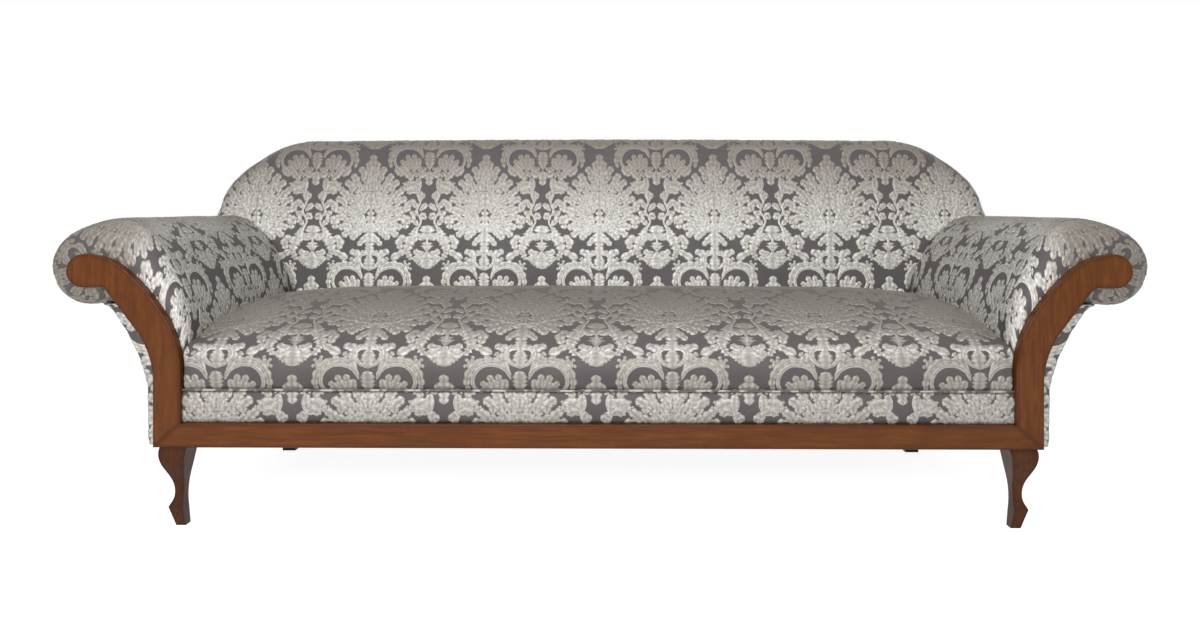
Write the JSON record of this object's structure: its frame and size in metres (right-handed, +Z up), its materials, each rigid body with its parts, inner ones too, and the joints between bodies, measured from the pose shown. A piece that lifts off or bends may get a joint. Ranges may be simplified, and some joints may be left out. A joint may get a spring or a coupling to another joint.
{
  "type": "cabriole sofa",
  "caption": "Tight-seat sofa with out-scrolled padded arms, show-wood scroll facings and front rail, an arched padded back and short sawn cabriole front legs.",
  "frame": {"origin": "on the floor, under the middle of the sofa's bounding box", "axes": "+Z up, the sofa faces -Y, +X runs along the seat to the sofa's own left as someone sits in it"},
  "size_m": [2.506, 0.83, 0.9375],
  "materials": {
    "show_wood": "satin stained hardwood",
    "dark_wood": "dark stained hardwood",
    "frame_wood": "planed beech",
    "damask": "cut velvet damask, silver pile on a taupe ground",
    "jute": "woven jute webbing",
    "felt": "needle felt",
    "dust_cloth": "black non-woven cloth",
    "steel": "bright steel"
  },
  "bodies": {
    "root": {"arm_battens_left": "frame_wood", "arm_battens_right": "frame_wood", "arm_facing_left": "show_wood", "arm_facing_right": "show_wood", "arm_front_board_left": "frame_wood", "arm_front_board_right": "frame_wood", "arm_outside_cover_left": "damask", "arm_outside_cover_right": "damask", "arm_pad_left": "damask", "arm_pad_right": "damask", "arm_rear_board_left": "frame_wood", "arm_rear_board_right": "frame_wood", "back_arm_rail_left": "frame_wood", "back_arm_rail_right": "frame_wood", "back_corner_left": "frame_wood", "back_corner_right": "frame_wood", "back_lower_rail": "frame_wood", "back_pad": "damask", "back_panel": "damask", "back_post_left": "frame_wood", "back_post_right": "frame_wood", "back_stiles": "frame_wood", "back_top_rail": "frame_wood", "back_webbing": "jute", "corner_blocks": "frame_wood", "dust_cover": "dust_cloth", "facing_screws": "steel", "front_border": "damask", "front_leg_left": "show_wood", "front_leg_right": "show_wood", "front_rail": "show_wood", "leg_bolts": "steel", "rear_leg_left": "dark_wood", "rear_leg_right": "dark_wood", "seat_cross_braces": "frame_wood", "seat_front_rail": "frame_wood", "seat_pad": "damask", "seat_rear_rail": "frame_wood", "seat_side_rail_left": "frame_wood", "seat_side_rail_right": "frame_wood", "spring_clips": "steel", "spring_cover": "felt", "welt_cord": "damask", "zigzag_springs": "steel"}
  },
  "joints": []
}
